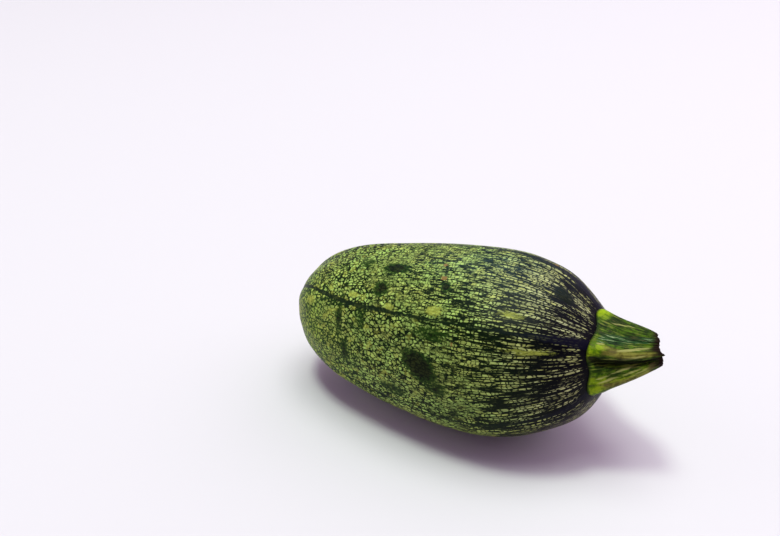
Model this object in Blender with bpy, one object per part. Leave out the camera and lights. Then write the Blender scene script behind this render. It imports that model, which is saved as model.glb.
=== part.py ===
"""A plump mottled zucchini lying on its side, as picked, with its ribbed stem cut short.

Two solids: the fruit, which grew as one piece, and the stem, a five-ribbed stalk whose flared foot
sits on the fruit's shoulder. Units are metres and +Z is up. The long axis runs along X, with the
blossom end at -X and the cut stem at +X. The origin is under the middle of the whole zucchini's box.

Every point is found from two numbers: how far along the outline it lies, from one end of the axis
to the other, and its angle round the axis, counted from the top (+Z) towards the front (-Y).
"""
from math import acos, atan2, cos, exp, hypot, pi, radians, sin

import bmesh
import bpy
from mathutils import Matrix, Vector

# Fruit: two half outlines joined at the widest section
FRUIT_LENGTH = 0.1400       # blossom end to the top of the dome under the stem
WIDEST_AT = 0.0885          # widest section, from the blossom end
FRUIT_RADIUS = 0.0380       # at the widest section
BLOSSOM_BLUNTNESS = 2.24    # 2 gives half an ellipse, more gives a blunter end
STEM_END_BLUNTNESS = 2.07
WAIST_DEPTH = 0.048         # share of the radius
WAIST_AT = 0.0455
WAIST_SPREAD = 0.0285

# Fruit: the slow bend of its axis and how it lies
SAG = 0.0037                # both ends curve up by this much
SAG_SKEW = 0.0028           # a slow S on top of that, which lifts the blossom half
SIDE_BOW = 0.0012           # the middle bulges to the front by this much
REST_TILT = radians(7.0)    # the stem end lies higher
FLAT_DEPTH = 0.00050        # how much of the belly is pressed flat where it lies

# Fruit: relief
RIBS = 5
RIB_ANGLE = radians(52.7)   # the rib that faces up and to the front
RIB_HEIGHT = 0.0007
RIB_CREST = 0.0003          # makes the crests narrower than the hollows between them
BELLY_SMOOTHING = 0.8       # share of the ribs that is lost on the side that it lies on
BELLY_SPREAD = radians(42)
SHOULDER_SWELL = 0.0026     # one shoulder beside the stem is fuller than the others
SHOULDER_AT = 0.1345
SHOULDER_SPREAD = 0.0115
SHOULDER_ANGLE = radians(147)
SCAR_RADIUS = 0.0060        # dry scar of the fallen blossom
SCAR_DEPTH = 0.0014
SCAR_RIM = 0.0005
SCAR_RIM_WIDTH = 0.0018

# Stem
GAP = 0.00035               # clearance between the fruit and the stem's hollow foot
FOOT_SHIFT = Vector((0.0, -0.0002, -0.0003))    # from the fruit's axis to the middle of the foot
TIP_SHIFT = Vector((0.0, -0.0016, 0.0021))      # from the fruit's axis to the middle of the cut
FOOT_RADIUS = 0.0164
FOOT_LOBE = 0.0019          # the foot reaches further down the fruit at each rib
STEM_END = 0.1575           # middle plane of the cut, from the blossom end
TIP_RADIUS = 0.0068
TAPER = 0.826               # 1 is a straight cone, less is fuller
KNOB_HEIGHT = 0.0004        # swelling of each rib just above the foot
KNOB_AT = 0.09              # share of the stem's length
STEM_RIBS = [radians(degrees) for degrees in (-10, 56, 114, 190, 268)]
STEM_RIB_SPREAD = radians(24)
STEM_RIB_DEPTH = 0.127      # share of the radius, between the ribs
FOOT_RIB_DEPTH = 0.05
STEM_TWIST = radians(22)
GROOVE_ANGLE = radians(70)      # deep crease beside the rib that faces the front
GROOVE_TWIST = radians(32)
GROOVE_WIDTH = radians(8)
GROOVE_DEPTH = 0.20             # share of the radius
TIP_SLANT = 0.0035              # the cut runs aslant: one side of its rim is longer
TIP_SLANT_ANGLE = radians(104)
TIP_RAGGED = 0.0006
TIP_HOLLOW = 0.0012             # the pith shrinks back behind the cut rim

# How finely the surfaces are divided
FRUIT_RINGS = 40
FRUIT_SIDES = 60
STEM_RINGS = 30
STEM_SIDES = 60
FOOT_SHARE = 0.27           # share of the stem's rings that line its hollow foot
CUT_SHARE = 0.13            # share of the stem's rings that cover the cut end
HALVINGS = 30

# Finish: colour, roughness
FRUIT_FINISH = ((0.105, 0.185, 0.050), 0.38)
STEM_FINISH = ((0.110, 0.210, 0.025), 0.45)


def clear_scene():
    for item in list(bpy.data.objects):
        bpy.data.objects.remove(item, do_unlink=True)


def smooth_step(value):
    value = max(0.0, min(1.0, value))
    return value * value * (3 - 2 * value)


def bell(offset, width):
    return exp(-((offset / width) ** 2))


def wrapped(angle):
    """The same angle between minus and plus half a turn."""
    return (angle + pi) % (2 * pi) - pi


def outline(turn):
    """Distance from the blossom end and radius, for a turn from 0 (blossom end) to pi (stem end)."""
    lean = cos(turn)
    half_length = WIDEST_AT if lean > 0 else FRUIT_LENGTH - WIDEST_AT
    bluntness = BLOSSOM_BLUNTNESS if lean > 0 else STEM_END_BLUNTNESS
    along = WIDEST_AT - half_length * lean
    radius = FRUIT_RADIUS * max(0.0, 1 - abs(lean) ** bluntness) ** (1 / bluntness)
    return along, radius * (1 - WAIST_DEPTH * bell(along - WAIST_AT, WAIST_SPREAD))


def outline_normal(turn):
    """Direction (along, outward) that leaves the outline at a right angle."""
    step = 0.001
    ahead = outline(min(pi, turn + step))
    behind = outline(max(0.0, turn - step))
    along = ahead[0] - behind[0]
    out = ahead[1] - behind[1]
    size = hypot(along, out)
    return -out / size, along / size


def rib_relief(angle, radius):
    """Height of the soft ribs, which fade out where the outline closes at either end."""
    swing = RIBS * (angle - RIB_ANGLE)
    fade = smooth_step(radius / (0.7 * FRUIT_RADIUS))
    fade *= 1 - BELLY_SMOOTHING * bell(wrapped(angle - pi), BELLY_SPREAD)
    return fade * (RIB_HEIGHT * cos(swing) + RIB_CREST * cos(2 * swing))


def shoulder_relief(along, angle, radius):
    swell = SHOULDER_SWELL * bell(along - SHOULDER_AT, SHOULDER_SPREAD)
    return swell * smooth_step(radius / (0.7 * FRUIT_RADIUS)) * cos(angle - SHOULDER_ANGLE)


def scar_relief(radius):
    """How far the blossom scar lies in (+) or stands out (-) at the blossom end."""
    dimple = SCAR_DEPTH * max(0.0, 1 - (radius / SCAR_RADIUS) ** 2) ** 2
    rim = SCAR_RIM * bell(radius - SCAR_RADIUS, SCAR_RIM_WIDTH)
    return dimple - rim


def axis_point(along):
    """The bent axis of the fruit, which runs on through the stem."""
    place = 2 * along / FRUIT_LENGTH - 1
    rise = SAG * place * place + SAG_SKEW * place * (place * place - 1)
    return Vector((along, -SIDE_BOW * (1 - place * place), rise))


def ray(angle):
    """Unit vector straight out from the axis."""
    return Vector((0.0, -sin(angle), cos(angle)))


def skin(turn, angle, lift=0.0):
    """Distance along and radius of the skin with its relief, or of a place lifted off it."""
    along, radius = outline(turn)
    normal_along, normal_out = outline_normal(turn)
    full = radius + rib_relief(angle, radius) + shoulder_relief(along, angle, radius)
    if turn < pi / 2:
        along += scar_relief(radius)
    return along + lift * normal_along, full + lift * normal_out


def fruit_point(share, angle):
    along, radius = skin(share * pi, angle)
    return axis_point(along) + radius * ray(angle)


def dome_under(offset):
    """Point of the lifted skin at an offset from the axis, near the stem, found by halving."""
    angle = atan2(-offset.y, offset.z)
    outer, inner = pi / 2, pi
    for _ in range(HALVINGS):
        middle = (outer + inner) / 2
        along, radius = skin(middle, angle, lift=GAP)
        if radius > offset.length:
            outer = middle
        else:
            inner = middle
    return axis_point(along) + offset


def stem_rib(angle, share):
    """1 on the crest of a stem rib and near 0 in the hollow between two."""
    turned = angle - STEM_TWIST * share
    return min(1.0, sum(bell(wrapped(turned - rib), STEM_RIB_SPREAD) for rib in STEM_RIBS))


def front_groove(angle, share):
    """The deep crease beside the front rib, fading out at the foot and near the cut."""
    offset = wrapped(angle - GROOVE_ANGLE - GROOVE_TWIST * share)
    fade = smooth_step(share / 0.12) * smooth_step((1.05 - share) / 0.25)
    return fade * bell(offset, GROOVE_WIDTH)


def foot_point(share, angle):
    """The hollow underside of the stem, from its middle (0) to the rim of the foot (1)."""
    reach = FOOT_RADIUS + FOOT_LOBE * (2 * stem_rib(angle, 0.0) - 1)
    return dome_under(FOOT_SHIFT + share * reach * ray(angle))


def cut_edge(angle):
    """The slanted, torn rim of the cut, ahead (+) of or behind (-) its middle plane."""
    torn = 0.35 * sin(3 * angle + 0.6) + 0.35 * sin(5 * angle) + 0.3 * sin(9 * angle + 1.9)
    return TIP_SLANT * cos(angle - TIP_SLANT_ANGLE) + TIP_RAGGED * torn


def stem_side(share, angle):
    """The ribbed outside, from the rim of the foot (0) to the rim of the cut (1)."""
    foot = foot_point(1.0, angle)
    along = foot.x + (STEM_END + cut_edge(angle) - foot.x) * share
    foot_radius = (foot - axis_point(foot.x) - FOOT_SHIFT).length
    radius = TIP_RADIUS + (foot_radius - TIP_RADIUS) * (1 - share) ** TAPER
    rib = stem_rib(angle, share)
    radius += KNOB_HEIGHT * rib * (share / KNOB_AT) * exp(1 - share / KNOB_AT)
    depth = FOOT_RIB_DEPTH + (STEM_RIB_DEPTH - FOOT_RIB_DEPTH) * smooth_step(share / 0.4)
    hollow = smooth_step(share / 0.08) * depth * (1 - rib)
    hollow += GROOVE_DEPTH * front_groove(angle, share)
    middle = axis_point(along) + FOOT_SHIFT.lerp(TIP_SHIFT, share)
    return middle + radius * (1 - hollow) * ray(angle)


def stem_cut(share, angle):
    """The cut end, from its torn rim (0) to its shrunken middle (1)."""
    rim = stem_side(1.0, angle)
    middle = axis_point(STEM_END) + TIP_SHIFT
    point = rim.lerp(middle, smooth_step(share))
    point.x -= TIP_HOLLOW * smooth_step((share - 0.2) / 0.5)
    return point


def stem_point(share, angle):
    """Along the stem's outline: under the foot, up the side and over the cut."""
    if share < FOOT_SHARE:
        return foot_point(share / FOOT_SHARE, angle)
    if share < 1 - CUT_SHARE:
        return stem_side((share - FOOT_SHARE) / (1 - FOOT_SHARE - CUT_SHARE), angle)
    return stem_cut((share - 1 + CUT_SHARE) / CUT_SHARE, angle)


def face_outwards(shape):
    if shape.calc_volume(signed=True) < 0:
        bmesh.ops.reverse_faces(shape, faces=shape.faces)


def shaped_sphere(name, rings, sides, place):
    """A sphere whose rings are moved to the places that a function gives them."""
    mesh = bpy.data.meshes.new(name)
    shape = bmesh.new()
    bmesh.ops.create_uvsphere(shape, u_segments=sides, v_segments=rings, radius=1.0)
    for vert in shape.verts:
        ring = round(acos(max(-1.0, min(1.0, vert.co.z))) / pi * rings)
        angle = atan2(vert.co.y, vert.co.x)
        vert.co = place(ring / rings, angle)
    shape.transform(Matrix.Rotation(-REST_TILT, 4, "Y"))
    face_outwards(shape)
    shape.to_mesh(mesh)
    shape.free()
    mesh.shade_smooth()
    return bpy.data.objects.new(name, mesh)


def press_flat(item, height):
    """Cuts the belly off level at a height, so that the fruit lies on a small flat spot."""
    shape = bmesh.new()
    shape.from_mesh(item.data)
    everything = shape.verts[:] + shape.edges[:] + shape.faces[:]
    cut = bmesh.ops.bisect_plane(shape, geom=everything, plane_co=(0, 0, height),
                                 plane_no=(0, 0, 1), clear_inner=True)
    edges = [piece for piece in cut["geom_cut"] if isinstance(piece, bmesh.types.BMEdge)]
    bmesh.ops.dissolve_degenerate(shape, dist=0.0001, edges=edges)
    rim = [edge for edge in shape.edges if edge.is_boundary]
    bmesh.ops.edgeloop_fill(shape, edges=rim)
    bmesh.ops.recalc_face_normals(shape, faces=shape.faces)
    face_outwards(shape)
    shape.to_mesh(item.data)
    shape.free()
    item.data.shade_smooth()
    for face in item.data.polygons:
        face.use_smooth = abs(face.normal.z + 1) > 1e-4


def make_material(name, colour, roughness):
    material = bpy.data.materials.new(name)
    material.use_nodes = True
    shader = material.node_tree.nodes["Principled BSDF"]
    shader.inputs["Base Color"].default_value = (*colour, 1.0)
    shader.inputs["Roughness"].default_value = roughness
    shader.inputs["Metallic"].default_value = 0.0
    return material


def add_to_collection(collection, item, finish):
    collection.objects.link(item)
    item.data.materials.append(make_material(item.name + "_skin", *finish))


def stand_on_origin(items):
    """Moves every piece so that the middle of the whole box's underside is the origin."""
    points = [vert.co for item in items for vert in item.data.vertices]
    middle_x = (min(p.x for p in points) + max(p.x for p in points)) / 2
    middle_y = (min(p.y for p in points) + max(p.y for p in points)) / 2
    lowest = min(p.z for p in points)
    for item in items:
        item.data.transform(Matrix.Translation((-middle_x, -middle_y, -lowest)))


def build():
    clear_scene()
    collection = bpy.data.collections.new("zucchini")
    bpy.context.scene.collection.children.link(collection)
    fruit = shaped_sphere("fruit", FRUIT_RINGS, FRUIT_SIDES, fruit_point)
    stem = shaped_sphere("stem", STEM_RINGS, STEM_SIDES, stem_point)
    press_flat(fruit, min(vert.co.z for vert in fruit.data.vertices) + FLAT_DEPTH)
    stand_on_origin([fruit, stem])
    add_to_collection(collection, fruit, FRUIT_FINISH)
    add_to_collection(collection, stem, STEM_FINISH)


build()
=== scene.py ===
# %% [markdown]
# # A zucchini on a pale table
#
# A plump summer squash lies on its side under soft lamps. Its skin is a dark green net round pale
# cells, and its stalk is a short, ribbed, cut stem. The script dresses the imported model: it loads the
# model as a frame, then makes finer pieces that keep the form of the model's two nodes, and gives each
# a material built from nodes.

from math import cos, pi, radians, sin

import bpy
import numpy as np
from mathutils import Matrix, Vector


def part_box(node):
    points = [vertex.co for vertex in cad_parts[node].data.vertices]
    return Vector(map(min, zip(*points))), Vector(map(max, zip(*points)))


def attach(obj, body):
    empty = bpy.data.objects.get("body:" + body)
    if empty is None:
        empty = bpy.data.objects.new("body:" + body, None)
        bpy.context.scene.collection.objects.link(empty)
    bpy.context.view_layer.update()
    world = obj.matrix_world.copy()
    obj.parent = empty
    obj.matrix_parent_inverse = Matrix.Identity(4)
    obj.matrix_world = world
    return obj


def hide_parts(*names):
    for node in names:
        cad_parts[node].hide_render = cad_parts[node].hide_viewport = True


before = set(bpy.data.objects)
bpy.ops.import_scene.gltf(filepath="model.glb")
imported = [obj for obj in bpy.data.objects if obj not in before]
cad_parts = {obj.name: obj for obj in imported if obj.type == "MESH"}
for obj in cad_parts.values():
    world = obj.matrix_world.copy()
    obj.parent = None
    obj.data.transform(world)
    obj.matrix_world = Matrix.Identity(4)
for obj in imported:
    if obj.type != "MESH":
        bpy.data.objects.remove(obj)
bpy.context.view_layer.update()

# %% [markdown]
# ## The outline of the fruit
#
# A zucchini is a solid of revolution with flaws: two half outlines that meet at the widest section,
# a slight waist, five soft ribs, one fuller shoulder and an axis that sags. Sculpting could give the
# form, but a formula gives every point from two numbers, a turn along the outline and an angle round
# the axis, so the same mesh can be made as finely as the skin needs. The measures are the model's.

# %% The fruit's measures, in metres
FRUIT_LENGTH = 0.1400
WIDEST_AT = 0.0885
FRUIT_RADIUS = 0.0380
BLOSSOM_BLUNTNESS = 2.24     # 2 gives half an ellipse, more gives a blunter end
STEM_END_BLUNTNESS = 2.07
WAIST_DEPTH = 0.048          # share of the radius
WAIST_AT = 0.0455
WAIST_SPREAD = 0.0285
SAG = 0.0037
SAG_SKEW = 0.0028
SIDE_BOW = 0.0012
REST_TILT = radians(7.0)
RIBS = 5
RIB_ANGLE = radians(52.7)
RIB_HEIGHT = 0.0007
RIB_CREST = 0.0003
RIBS_FULL_AT = 0.7           # share of the largest radius: nearer to the two ends the ribs fade
BELLY_SMOOTHING = 0.8
BELLY_SPREAD = radians(42)
SHOULDER_SWELL = 0.0026
SHOULDER_AT = 0.1345
SHOULDER_SPREAD = 0.0115
SHOULDER_ANGLE = radians(147)
SCAR_RADIUS = 0.0060
SCAR_DEPTH = 0.0014
SCAR_RIM = 0.0005
SCAR_RIM_WIDTH = 0.0018
print("the fruit is", FRUIT_LENGTH * 1000, "mm long and about", FRUIT_RADIUS * 2000, "mm thick")


# %% Curves that fade, swell and wrap
def smooth_step(value, start=0.0, end=1.0):
    """0 up to the start, 1 from the end on, an even curve between. The end may be the lower number."""
    value = np.clip((value - start) / (end - start), 0.0, 1.0)
    return value * value * (3 - 2 * value)


def bell(offset, width):
    return np.exp(-((offset / width) ** 2))


def wrapped(angle):
    """The same angle between minus and plus half a turn."""
    return (angle + pi) % (2 * pi) - pi


print("a bell of width 1 has fallen to", round(float(bell(1.0, 1.0)), 2), "at 1")


# %% The outline and its relief
def outline(turn):
    """Distance from the blossom end and radius, for a turn from 0 (blossom end) to pi (stem end)."""
    lean = np.cos(turn)
    blossom_half = lean > 0
    half_length = np.where(blossom_half, WIDEST_AT, FRUIT_LENGTH - WIDEST_AT)
    bluntness = np.where(blossom_half, BLOSSOM_BLUNTNESS, STEM_END_BLUNTNESS)
    along = WIDEST_AT - half_length * lean
    radius = FRUIT_RADIUS * np.maximum(0.0, 1 - np.abs(lean) ** bluntness) ** (1 / bluntness)
    return along, radius * (1 - WAIST_DEPTH * bell(along - WAIST_AT, WAIST_SPREAD))


def outline_normal(turn):
    """Direction (along, outward) that leaves the outline at a right angle."""
    ahead = outline(np.minimum(pi, turn + 0.001))
    behind = outline(np.maximum(0.0, turn - 0.001))
    along = ahead[0] - behind[0]
    out = ahead[1] - behind[1]
    size = np.hypot(along, out)
    return -out / size, along / size


def skin(turn, angle, lift=0.0):
    """Distance along and radius of the skin with its ribs, shoulder and blossom scar."""
    along, radius = outline(turn)
    normal_along, normal_out = outline_normal(turn)
    fade = smooth_step(radius, 0.0, RIBS_FULL_AT * FRUIT_RADIUS)
    belly = 1 - BELLY_SMOOTHING * bell(wrapped(angle - pi), BELLY_SPREAD)
    swing = RIBS * (angle - RIB_ANGLE)
    ribs = fade * belly * (RIB_HEIGHT * np.cos(swing) + RIB_CREST * np.cos(2 * swing))
    swell = SHOULDER_SWELL * bell(along - SHOULDER_AT, SHOULDER_SPREAD)
    shoulder = swell * fade * np.cos(angle - SHOULDER_ANGLE)
    dimple = SCAR_DEPTH * np.maximum(0.0, 1 - (radius / SCAR_RADIUS) ** 2) ** 2
    rim = SCAR_RIM * bell(radius - SCAR_RADIUS, SCAR_RIM_WIDTH)
    along = along + np.where(turn < pi / 2, dimple - rim, 0.0)
    return along + lift * normal_along, radius + ribs + shoulder + lift * normal_out


print("widest radius", round(float(outline(np.array(pi / 2))[1]) * 1000, 1), "mm")


# %% Points round the bent axis
def ray(angle):
    """Unit vector straight out from the axis: 0 points up, a quarter turn points to the front."""
    return np.stack((np.zeros_like(angle), -np.sin(angle), np.cos(angle)), axis=-1)


def axis_point(along):
    """The axis of the fruit at a distance from the blossom end: it sags and bows a little."""
    place = 2 * along / FRUIT_LENGTH - 1
    rise = SAG * place * place + SAG_SKEW * place * (place * place - 1)
    return np.stack((along, -SIDE_BOW * (1 - place * place), rise), axis=-1)


def tilted(points):
    """Lifts the stem end, as the fruit lies."""
    x, y, z = points[..., 0], points[..., 1], points[..., 2]
    lean_x = x * cos(REST_TILT) - z * sin(REST_TILT)
    lean_z = x * sin(REST_TILT) + z * cos(REST_TILT)
    return np.stack((lean_x, y, lean_z), axis=-1)


axis_height = axis_point(np.linspace(0, FRUIT_LENGTH))[:, 2]
print("the axis sags by", round(float(np.ptp(axis_height)) * 1000, 1), "mm")


# %% Rings of points on the skin
FRUIT_RINGS = 300
FRUIT_SIDES = 320

ring_turn = np.linspace(0.0, pi, FRUIT_RINGS + 1)
side_angle = np.linspace(0.0, 2 * pi, FRUIT_SIDES, endpoint=False)
fruit_turn, fruit_angle = np.meshgrid(ring_turn, side_angle, indexing="ij")
fruit_along, fruit_radius = skin(fruit_turn, fruit_angle)
print(FRUIT_RINGS, "rings of", FRUIT_SIDES, "points make the fruit")

# %% [markdown]
# ## Distances on the skin
#
# Everything painted on the skin is placed in real millimetres. How far a ring lies along the skin
# comes from adding up the steps between the rings of the bare outline. How far two points of a ring
# lie apart comes from the radius there. A region of the skin is named by two numbers: the share of
# the turn from the blossom end (0) to the stem end (1), and the degrees round the fruit from the top
# (0) over the front (90) to the belly (180).

# %% Millimetres along the skin and round it
bare_along, bare_radius = outline(ring_turn)
ring_steps = np.hypot(np.diff(bare_along), np.diff(bare_radius))
ring_reach = np.concatenate(([0.0], np.cumsum(ring_steps))) * 1000
ring_share = ring_turn / pi
print("from the blossom end to the stem end over the skin:", round(ring_reach[-1]), "mm")


def round_distance(degrees):
    """Millimetres round the skin from an angle, ring by ring."""
    return wrapped(fruit_angle - np.radians(degrees)) * bare_radius[:, None] * 1000


def near_share(share, spread):
    """1 at a share of the turn, fading to both ends."""
    return bell(ring_share - share, spread)[:, None]


def facing(degrees, spread):
    """1 where the skin faces this way, fading to both sides."""
    return bell(wrapped(fruit_angle - radians(degrees)), radians(spread))


# %% [markdown]
# ## Where the net runs
#
# The pale cells are round at the blossom end, where the fruit grew last, and are drawn out into long
# dashes towards the stem, all pointing at it. A cell pattern that is laid on the bare surface would
# have cells of one shape. So each point is given a second place, on a cylinder that is shortened
# where the cells are long: the pattern is even on that cylinder and comes out stretched on the fruit.
# The cylinder closes on itself, so the pattern has no seam. Close to the blossom end the cylinder
# follows the round end instead, so that the cells there aren't squeezed.

# %% A second place for each point, in millimetres
ROUND_END = 0.2         # share of the turn up to which the place follows the round end

# how far a cell is drawn out, ring by ring
stretch = 1.1 + 0.9 * smooth_step(ring_share, 0.36, 0.70) + 1.0 * smooth_step(ring_share, 0.70, 0.95)
slow_steps = np.diff(ring_reach) / ((stretch[1:] + stretch[:-1]) / 2)
slow_reach = np.concatenate(([0.0], np.cumsum(slow_steps)))
wide_ring = int(np.argmax(bare_radius))
net_radius = bare_radius * 1000
net_radius[wide_ring:] = net_radius[wide_ring]
# a thicker cylinder holds more cells, so each comes out narrower on the fruit
net_radius *= 1.12 + 0.2 * smooth_step(ring_share, 0.25, 0.65)
start = int(ROUND_END * FRUIT_RINGS)
round_x = (bare_along - bare_along[start]) * 1000 + slow_reach[start]
net_x = round_x + (slow_reach - round_x) * smooth_step(ring_share, 0.18, 0.38)
net_place = np.stack((
    np.broadcast_to(net_x[:, None], fruit_angle.shape),
    -net_radius[:, None] * np.sin(fruit_angle),
    net_radius[:, None] * np.cos(fruit_angle)), axis=-1)
longest_cell = float(stretch[-1] / stretch[0])
print("by the stem a cell is", round(longest_cell, 1), "times as long as at the blossom end")


# %% [markdown]
# ## The dark lines between the segments
#
# A squash fruit has five segments, and a darker line runs down the middle of each, from the blossom
# scar to the stem. Near the blossom end the line is a thin crease. In the middle of the fruit it is
# lost in the net. Towards the stem it widens to a near-black band, whose blue-violet cast is a
# painted reflection of the dim violet room. A line that is drawn with one width looks like a pen
# stroke, so each has its own widths at eight places. A width below zero leaves only traces, where the
# material's noise happens to lift it. What is stored is the width less the distance to the line, so
# the material can draw the edge as finely as it likes.

# %% Five dark lines
WIDTH_SHARES = (0.05, 0.18, 0.34, 0.42, 0.55, 0.66, 0.76, 0.90)
DARK_LINES = (          # degrees round, degrees of bend near the blossom end, millimetres to each side
    (50, -17, (0.70, 0.75, 0.90, 0.70, 0.50, 0.90, 1.60, 2.20)),
    (115, 12, (0.00, 0.10, 0.20, 0.20, 0.60, 0.80, 1.10, 1.50)),
    (190, -8, (0.30, 0.40, 0.30, -0.10, 0.00, 0.30, 1.00, 1.60)),
    (267, 10, (0.20, 0.30, 0.50, 0.00, -0.20, 0.20, 1.10, 1.70)),
    (344, 14, (0.20, 0.20, 0.10, -0.20, 0.70, 1.30, 1.60, 1.80)))

line_gap = np.full(fruit_angle.shape, 100.0)
line_field = -line_gap
for degrees, bend_degrees, widths in DARK_LINES:
    middle = degrees + bend_degrees * smooth_step(ring_share, 0.33, 0.06)[:, None]
    from_line = np.abs(round_distance(middle))
    line_gap = np.minimum(line_gap, from_line)
    half_width = np.interp(ring_share, WIDTH_SHARES, widths)[:, None]
    line_field = np.maximum(line_field, half_width - from_line)
print("share of the skin inside a dark line:", round(float((line_field > 0).mean()), 3))

# %% [markdown]
# ## Small unevenness
#
# No grown skin is as smooth as a formula. A real zucchini has shallow dents and swellings, a few
# centimetres across and a tenth of a millimetre high, which only show where light glances off it, and
# its skin sinks a little along the creases. A displacement modifier could add them, but a sum of a few
# long waves in seeded directions does it in the mesh itself, has no seam, and comes out the same
# every time.


# %% Waves in seeded directions
def gentle_waves(points, shortest, longest, count, seed):
    """A smooth random height between about -1 and 1 at each point, from waves of these lengths."""
    draw = np.random.default_rng(seed)
    height = np.zeros(points.shape[:-1])
    for _ in range(count):
        direction = draw.normal(size=3)
        direction /= np.linalg.norm(direction)
        length = draw.uniform(shortest, longest)
        height += np.sin(points @ direction * 2 * pi / length + draw.uniform(0, 2 * pi))
    return height / (1.4 * count ** 0.5)


sample = gentle_waves(ray(side_angle), 0.5, 2.0, 24, seed=4)
print("such waves reach from", round(float(sample.min()), 2), "to", round(float(sample.max()), 2))


# %% The fine fruit surface
LUMP_HEIGHT = 0.00013
CREASE_DEPTH = 0.00022
CREASE_WIDTH = 0.9      # millimetres to each side

smooth_fruit = axis_point(fruit_along) + fruit_radius[..., None] * ray(fruit_angle)
calm_ends = smooth_step(ring_share, 0.03, 0.13) * smooth_step(ring_share, 0.93, 0.83)
lumps = LUMP_HEIGHT * calm_ends[:, None] * gentle_waves(smooth_fruit, 0.012, 0.035, 24, seed=4)
crease_fade = smooth_step(ring_share, 0.05, 0.13) * smooth_step(ring_share, 0.46, 0.34)
crease = CREASE_DEPTH * crease_fade[:, None] * bell(line_gap, CREASE_WIDTH)
finished_radius = fruit_radius + lumps - crease
fruit_points = tilted(axis_point(fruit_along) + finished_radius[..., None] * ray(fruit_angle))
print("lumps of", round(float(lumps.max()) * 1000, 2), "mm, and a crease", CREASE_DEPTH * 1000, "mm deep")

# %% [markdown]
# ## Into the model's place
#
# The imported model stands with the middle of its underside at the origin, and its belly is pressed
# flat where it lies. The fine surface is moved so that its box meets the box of the model's fruit,
# and what would be under the table is raised to it. The stem is moved by the same amount.

# %% Move the fruit to its place
fruit_box = np.array(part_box("fruit"))
lowest = fruit_points.reshape(-1, 3).min(axis=0)
highest = fruit_points.reshape(-1, 3).max(axis=0)
to_frame = fruit_box.mean(axis=0) - (lowest + highest) / 2
to_frame[2] = fruit_box[1][2] - highest[2]
fruit_points = fruit_points + to_frame
under_table = -fruit_points[..., 2].min() * 1000
fruit_points[..., 2] = np.maximum(fruit_points[..., 2], 0.0)
print("moved by", np.round(to_frame * 1000, 2), "mm")
print("the belly is pressed flat by", round(under_table, 2), "mm")


# %% Turn a grid of points into a closed mesh
def one_per_point(grid):
    """The grid as a list, with one entry for its whole first ring and one for its last."""
    return np.concatenate((grid[:1, 0], grid[1:-1].reshape(-1, *grid.shape[2:]), grid[-1:, 0]))


def closed_mesh(name, points):
    """A mesh from rings of points whose first and last ring each shrink to one point."""
    rings, sides = points.shape[:2]
    corners = one_per_point(points)
    last = len(corners) - 1
    index = np.arange(1, last).reshape(rings - 2, sides)
    beside = np.roll(index, -1, axis=1)
    quads = np.stack((index[:-1], beside[:-1], beside[1:], index[1:]), axis=-1).reshape(-1, 4)
    first_cap = np.stack((np.zeros(sides, int), beside[0], index[0]), axis=-1)
    last_cap = np.stack((np.full(sides, last), index[-1], beside[-1]), axis=-1)
    mesh = bpy.data.meshes.new(name)
    mesh.from_pydata(corners.tolist(), [], quads.tolist() + first_cap.tolist() + last_cap.tolist())
    mesh.shade_smooth()
    return mesh


def keep_on_points(piece, grid_shape, **fields):
    """Stores numbers or vectors on the points of a grid under their names, for the material to read."""
    for name, values in fields.items():
        is_vector = np.ndim(values) == 3
        grid = np.broadcast_to(values, grid_shape + (3,) * is_vector).astype(float)
        store = piece.data.attributes.new(name, "FLOAT_VECTOR" if is_vector else "FLOAT", "POINT")
        store.data.foreach_set("vector" if is_vector else "value", one_per_point(grid).ravel())


print("the fruit's grid gives", len(one_per_point(fruit_angle)), "points")


# %% The fruit piece
def add_piece(name, points, node):
    """A piece that rides on the model's body and stands for one of its nodes."""
    piece = bpy.data.objects.new(name, closed_mesh(name, points))
    bpy.context.scene.collection.objects.link(piece)
    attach(piece, "root")
    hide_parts(node)
    print(name, "has", len(piece.data.polygons), "faces and stands for", node)
    return piece


fruit = add_piece("fruit_surface", fruit_points, "fruit")
keep_on_points(fruit, fruit_angle.shape, net_place=net_place, line_field=line_field)

# %% [markdown]
# ## The stem
#
# The stalk is a tougher, five-ribbed piece. Its foot flares out over the fruit's shoulder in five
# lobes, and its cut end is torn and already brown. It is made as the fruit was: rings of points that
# run up the side from the foot, over the torn rim and into the cut. The foot lies on the fruit's skin,
# so its rim is found by halving the outline until the skin is as far from the axis as the rim is.

# %% The stem's measures, in metres
FOOT_SHIFT = np.array((0.0, -0.0002, -0.0003))    # from the fruit's axis to the middle of the foot
TIP_SHIFT = np.array((0.0, -0.0016, 0.0021))      # from the fruit's axis to the middle of the cut
FOOT_RADIUS = 0.0164
FOOT_LOBE = 0.0019
FOOT_LIFT = 0.00015          # the rim lies almost on the skin
STEM_END = 0.1575
TIP_RADIUS = 0.0068
TAPER = 0.826
KNOB_HEIGHT = 0.0004
KNOB_AT = 0.09
STEM_RIBS = [radians(degrees) for degrees in (-10, 56, 114, 190, 268)]
STEM_RIB_SPREAD = radians(24)
STEM_RIB_DEPTH = 0.127
FOOT_RIB_DEPTH = 0.05
STEM_TWIST = radians(22)
GROOVE_ANGLE = radians(70)
GROOVE_TWIST = radians(32)
GROOVE_WIDTH = radians(8)
GROOVE_DEPTH = 0.20
TIP_SLANT = 0.0035
TIP_SLANT_ANGLE = radians(104)
TIP_RAGGED = 0.0006
TIP_HOLLOW = 0.0012
print("the foot is", FOOT_RADIUS * 2000, "mm wide and the cut", TIP_RADIUS * 2000, "mm")


# %% Ribs and the deep groove
def stem_rib(angle, share):
    """1 on the crest of a rib and near 0 in the hollow between two."""
    turned = angle - STEM_TWIST * share
    return np.minimum(1.0, sum(bell(wrapped(turned - rib), STEM_RIB_SPREAD) for rib in STEM_RIBS))


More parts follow.
